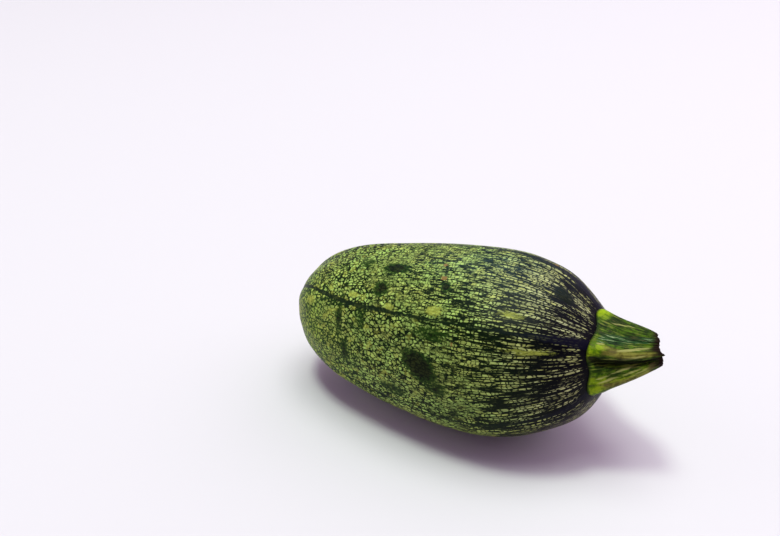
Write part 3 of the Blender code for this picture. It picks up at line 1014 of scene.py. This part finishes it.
up_stem = whole_stem(0.0, side_share, 1.0 + cut_share)
along_stem = np.minimum(up_stem, 1.0)
stem_angle = whole_stem(foot_way, side_way, cut_way)


def band(degrees_at_foot, degrees_turned, half_width, start, end):
    """A band up the stem: 1 in its middle, 0 at its edges and ends, below 0 outside."""
    middle = radians(degrees_at_foot) + radians(degrees_turned) * along_stem
    across = 1 - np.abs(wrapped(stem_angle - middle)) / radians(half_width)
    return np.minimum(across, np.minimum((along_stem - start) / 0.1, (end - along_stem) / 0.1))


# painted light: a band on the low side in the lobes' lime, for light the bright table throws up; the loop
# adds the real lobes round the foot
lobe = 0.5 * band(98, 20, 17, -0.1, 0.9) - 0.35
for rib in STEM_RIBS:
    lobe = np.maximum(lobe, 1 - np.hypot(wrapped(stem_angle - rib) / radians(16), along_stem / 0.25))
yellow_ribs_and_painted_light = np.maximum(band(50, 28, 9, 0.18, 0.98), band(186, 20, 9, 0.2, 0.9))
# painted light: this band on the low side, in the ribs' yellow olive, for light thrown up from the table
yellow_ribs_and_painted_light = np.maximum(yellow_ribs_and_painted_light, 0.6 * band(106, 22, 14, 0.12, 0.9))
# painted shade: near-black bands in the grooves beside the front and back ribs
groove_painted_shade = np.maximum(band(66, 32, 11, 0.0, 1.05), band(228, 22, 9, 0.05, 0.9))
blue_hollow = np.maximum(band(38, -2, 13, 0.06, 1.0), band(150, 10, 14, 0.1, 1.0))
print("bands on the stem: yellow ribs, dark grooves and blue-green hollows, front and back")

# %% Places on the stem with a colour of their own
STEM_LENGTH = 24.0      # millimetres, for the places below
CORKY = (
    (0.37, 60, 4.6, 2.2, 0.9), (0.26, 110, 3.0, 1.6, 0.6), (0.62, 200, 4, 2, 0.8), (0.86, 112, 4, 3.0, 0.7))
DARK_PANELS = (
    (0.36, 4, 8, 5.0, 0.9), (0.55, 24, 8, 3.0, 0.7), (0.335, 101, 5, 3.4, 0.9), (0.12, 84, 5, 3.0, 0.9),
    (0.12, 30, 5, 4.0, 0.6), (0.5, 215, 9, 4, 0.7), (0.4, 290, 8, 4, 0.7), (0.5, 335, 9, 3.5, 0.7))
PALE_STREAKS = (
    (0.46, 7, 13, 0.8, 0.8), (0.62, 58, 16, 1.2, 1.0), (0.60, 74, 14, 1.0, 0.9), (0.60, 105, 10, 1.2, 0.8),
    (0.30, 104, 10, 1.3, 0.8), (0.45, 96, 12, 1.2, 0.8), (0.72, 112, 9, 1.2, 0.8),
    (0.17, 46, 5, 1.0, 0.7), (0.20, 98, 7, 1.0, 0.7), (0.5, 180, 12, 1.2, 0.8), (0.5, 255, 12, 1.2, 0.8))


def up_from(share):
    """Millimetres up the stem from a share of its length."""
    return (up_stem - share) * STEM_LENGTH


def round_from(degrees):
    """Millimetres round the stem from an angle, on its average radius there."""
    return wrapped(stem_angle - radians(degrees)) * np.interp(along_stem, (0, 1), (15.0, 6.5))


stem_marks = [marks_field(kind, up_from, round_from) for kind in (CORKY, DARK_PANELS, PALE_STREAKS)]
print(len(CORKY), "corky places,", len(DARK_PANELS), "dark panels and", len(PALE_STREAKS), "pale streaks")

# %% Store the bands, the marks and the fibres' place
FIBRE_CIRCLE = 10.0     # millimetres: the radius of the cylinder on which the fibres are drawn
FIBRE_STRETCH = 1.7     # millimetres for the whole stem, so noise on this place comes out as streaks

untwisted = stem_angle - FIBRE_TWIST * along_stem
fibre_place = np.stack((
    up_stem * FIBRE_STRETCH, -FIBRE_CIRCLE * np.sin(untwisted), FIBRE_CIRCLE * np.cos(untwisted)), axis=-1)
keep_on_points(
    stem, stem_angle.shape, up_stem=up_stem, lobe=lobe,
    fibre_place=fibre_place, stem_place=stem_points * 1000,
    stem_bands=np.stack((yellow_ribs_and_painted_light, groove_painted_shade, blue_hollow), axis=-1),
    stem_marks=np.stack(stem_marks, axis=-1))
print("the stem's mesh now holds", len(stem.data.attributes), "fields")

# %% [markdown]
# ## The stalk: fibrous green stem, cut and dried
#
# The stalk's skin is dull beside the rind: it has no wax, and its fibres scatter the light. Under its
# bright lobes it is a deep green with darker and paler fibres, and the cut has dried to a brown that
# is almost black. Every layer is cut out of its stored field with the same ragged edge, and fibres are
# drawn on most of them, so each of these is a small function.

# %% One layer of colour on the stalk
stalk, tree, _ = new_material("fibrous_green_stalk")
fibre_place, stem_place, bands, panels = (
    add(tree, "Attribute", {}, attribute_name=name).outputs["Vector"]
    for name in ("fibre_place", "stem_place", "stem_bands", "stem_marks"))
up, lobe = (
    add(tree, "Attribute", {}, attribute_name=name).outputs["Fac"] for name in ("up_stem", "lobe"))
fibre, fine_fibre, blur = (
    add(tree, "TexNoise", {"Vector": vector, "Scale": scale, "Detail": 3.0,
                           "Roughness": roughness}).outputs["Fac"]
    for vector, scale, roughness in (
        (fibre_place, 0.9, 0.65), (fibre_place, 2.3, 0.65), (stem_place, 0.40, 0.6)))
ragged = add(tree, "Math", {0: fibre, 1: fine_fibre}, operation="ADD")
ragged = add(tree, "MapRange", {"Value": ragged, "From Min": 0.7, "From Max": 1.3,
                                "To Min": -0.5, "To Max": 0.5})


def layer(under, colour, field, low, high, most=0.9):
    """Lays a colour over what is under it, where the field with its ragged edge rises from low to high."""
    cover = cut_out(tree, field, ragged, low, high, most)
    return add(tree, "Mix", {"Factor": cover, "A": under, "B": colour}, data_type="RGBA")


def fibre_lines(under, colour, start, end, most):
    """Draws fine fibres, where the fine noise goes from start to end."""
    cover = add(tree, "MapRange", {"Value": fine_fibre, "From Min": start, "From Max": end, "To Max": most})
    return add(tree, "Mix", {"Factor": cover, "A": under, "B": colour}, data_type="RGBA")


print("nodes before the first layer:", len(tree.nodes))


# %% Deep green skin with darker and paler fibres
patchy = add(tree, "MapRange", {"Value": blur, "From Min": 0.36, "From Max": 0.64},
             interpolation_type="SMOOTHSTEP")
skin_tint, rib_and_painted_light_tint, lobe_tint = (
    add(tree, "Mix", {"Factor": patchy, "A": dark, "B": light}, data_type="RGBA")
    for dark, light in (("#1D3206", "#48660F"), ("#5E5A24", "#8A873C"), ("#506F08", "#8BA514")))
skin_tint = fibre_lines(skin_tint, "#0F1D08", 0.52, 0.60, 0.9)
skin_tint = fibre_lines(skin_tint, "#84883C", 0.44, 0.36, 0.6)
print("nodes with the green skin:", len(tree.nodes))

# %% Blue-green hollows, yellow ribs and bright lobes, and painted light on the low side
bands = add(tree, "SeparateXYZ", {0: bands}).outputs
hollow_tint = fibre_lines("#22431E", "#060E08", 0.50, 0.57, 0.92)
hollow_tint = fibre_lines(hollow_tint, "#84986E", 0.43, 0.37, 0.9)
skin_tint = layer(skin_tint, hollow_tint, bands["Z"], 0.0, 0.4, 0.95)
rib_and_painted_light_tint = fibre_lines(rib_and_painted_light_tint, "#2E2A10", 0.53, 0.63, 0.8)
# the ribs' layer and the lobes' layer also lay painted light on the low side
skin_tint = layer(skin_tint, rib_and_painted_light_tint, bands["X"], -0.05, 0.55)
skin_tint = layer(skin_tint, lobe_tint, lobe, -0.2, 0.4)
print("nodes with the hollows, the ribs and the lobes:", len(tree.nodes))

# %% Dark panels, pale streaks, painted shade in the grooves, and cork
panels = add(tree, "SeparateXYZ", {0: panels}).outputs
cork_tint = add(tree, "Mix", {"Factor": fine_fibre, "A": "#120C05", "B": "#7A7040"}, data_type="RGBA")
skin_tint = layer(skin_tint, "#122406", panels["Y"], 0.0, 0.8, 0.85)
skin_tint = layer(skin_tint, "#A3A45E", panels["Z"], 0.3, 0.9, 0.8)
# painted shade in the grooves, near black
skin_tint = layer(skin_tint, "#0E1007", bands["Y"], -0.1, 0.5, 0.95)
skin_tint = layer(skin_tint, cork_tint, panels["X"], 0.1, 0.8)
print("nodes with the panels, the streaks, the groove and the cork:", len(tree.nodes))

# %% The shaded rim of the foot and the dried cut
rim_shade = add(tree, "MapRange", {"Value": up, "From Min": 0.05, "From Max": 0.0, "To Max": 0.85},
                interpolation_type="SMOOTHSTEP")
dry_edge = add(tree, "Math", {0: fibre, 1: 0.30, 2: up}, operation="MULTIPLY_ADD")
dry = add(tree, "MapRange", {"Value": dry_edge, "From Min": 1.00, "From Max": 1.12},
          interpolation_type="SMOOTHSTEP")
dry_tint = add(tree, "Mix", {"Factor": fine_fibre, "A": "#090607", "B": "#2C1E16"}, data_type="RGBA")
for cover, colour in ((rim_shade, "#101E08"), (dry, dry_tint)):
    skin_tint = add(tree, "Mix", {"Factor": cover, "A": skin_tint, "B": colour}, data_type="RGBA")
print("nodes with the foot's rim and the cut:", len(tree.nodes))

# %% Dull sheen and fibre relief
stem_relief = add(tree, "Math", {0: fine_fibre, 1: fibre}, operation="ADD")
stem_bump = add(tree, "Bump", {"Height": stem_relief, "Strength": 0.6, "Distance": 0.0003})
stem_rough = add(tree, "Mix", {"Factor": dry, "A": 0.45, "B": 0.85}, data_type="FLOAT")
put_on(stem, stalk, skin_tint, stem_rough, stem_bump, gloss=0.06)

# %% [markdown]
# ## The table and the light
#
# The fruit lies on a seamless white sheet that curves up far away, so that no edge shows behind it.
# One small lamp hangs almost straight above it, a little to the left, and draws the shadow. A wide
# soft box above it and two pale walls fill the outer part of the shadow and the sides of the fruit.
# The lamps are faintly green and the dim room is violet: together they leave the sheet a neutral
# white, and the shadow, where the room gives most of the light, turns violet.


# %% A plain pale sheet that curves up far away
FLAT_RADIUS = 3.0       # metres
CURVE_RADIUS = 1.6


def add_floor(flat_radius, curve_radius, sides=96, rings=16):
    """A round sheet: flat in the middle, then a quarter circle up, so that no horizon shows."""
    turns = np.linspace(0.0, pi / 2, rings)
    radii = flat_radius + curve_radius * np.sin(turns)
    radii[0] = flat_radius / 2
    heights = curve_radius * (1 - np.cos(turns))
    heights[1] = 0.0
    way = np.linspace(0.0, 2 * pi, sides, endpoint=False)
    points = np.stack((radii[:, None] * np.cos(way), radii[:, None] * np.sin(way),
                       np.broadcast_to(heights[:, None], (rings, sides))), axis=-1)
    corner = np.arange(rings * sides).reshape(rings, sides)
    beside = np.roll(corner, -1, axis=1)
    faces = np.stack((corner[:-1], corner[1:], beside[1:], beside[:-1]), axis=-1).reshape(-1, 4).tolist()
    mesh = bpy.data.meshes.new("floor")
    mesh.from_pydata(points.reshape(-1, 3).tolist(), [], [corner[0].tolist()] + faces)
    mesh.shade_smooth()
    floor = bpy.data.objects.new("floor", mesh)
    bpy.context.scene.collection.objects.link(floor)
    return floor


floor = add_floor(FLAT_RADIUS, CURVE_RADIUS)
paper, _, paper_shader = new_material("white_paper")
paper_shader.inputs["Base Color"].default_value = paint("#CCCBCE")
paper_shader.inputs["Roughness"].default_value = 0.9
paper_shader.inputs["Specular IOR Level"].default_value = 0.2
floor.data.materials.append(paper)
print("the sheet has", len(floor.data.polygons), "faces")

# %% Lamps that look down at the fruit
LAMPS = (       # name, shape, size in metres, watts, colour, direction from the origin, distance
    ("lamp", "DISK", 0.60, 40.0, (0.83, 1.0, 0.80), (-0.125, -0.137, 0.983), 3.0),
    ("soft_box", "DISK", 2.2, 62.0, (0.90, 1.0, 0.90), (0.0, 0.0, 1.0), 3.0),
    ("pale_wall", "SQUARE", 2.4, 20.0, (1.0, 0.88, 0.97), (0.40, 0.54, 0.74), 1.6),
    ("left_wall", "SQUARE", 2.0, 12.0, (1.0, 1.0, 1.0), (-0.90, -0.25, 0.36), 3.0))

for name, shape, size, watts, colour, direction, distance in LAMPS:
    lamp_data = bpy.data.lights.new(name, "AREA")
    lamp_data.shape = shape
    lamp_data.size = size
    lamp_data.energy = watts
    lamp_data.color = colour
    lamp = bpy.data.objects.new(name, lamp_data)
    lamp.location = Vector(direction).normalized() * distance
    lamp.rotation_euler = Vector(direction).to_track_quat("Z", "Y").to_euler()
    bpy.context.scene.collection.objects.link(lamp)
print(len(LAMPS), "lamps")

# %% The dim violet room
ROOM_COLOUR = (0.88, 0.46, 1.0)
ROOM_STRENGTH = 0.35

room = bpy.data.worlds.new("room")
room.use_nodes = True
room_light = room.node_tree.nodes["Background"]
room_light.inputs["Color"].default_value = (*ROOM_COLOUR, 1.0)
room_light.inputs["Strength"].default_value = ROOM_STRENGTH
bpy.context.scene.world = room
bpy.context.scene.view_settings.view_transform = "Standard"
print("the room's own light is", ROOM_STRENGTH, "strong")

# %% [markdown]
# ## The camera
#
# A normal lens looks down at the fruit from half a metre away, from a little towards the stem. Where
# the camera stands was worked out from the outline in the picture.

# %% A normal lens, half a metre away
AIM = Vector((-0.0378, 0.0, 0.0591))
ELEVATION = radians(30.44)
AZIMUTH = radians(28.25)
DISTANCE = 0.4505

camera_data = bpy.data.cameras.new("camera")
camera_data.lens = 50.0
camera_data.sensor_width = 36.0
camera_data.clip_start = 0.01
backwards = Vector((sin(AZIMUTH) * cos(ELEVATION), -cos(AZIMUTH) * cos(ELEVATION), sin(ELEVATION)))
camera = bpy.data.objects.new("camera", camera_data)
camera.location = AIM + backwards * DISTANCE
camera.rotation_euler = backwards.to_track_quat("Z", "Y").to_euler()
bpy.context.scene.collection.objects.link(camera)
bpy.context.scene.camera = camera
print("the camera stands at", [round(part, 3) for part in camera.location])
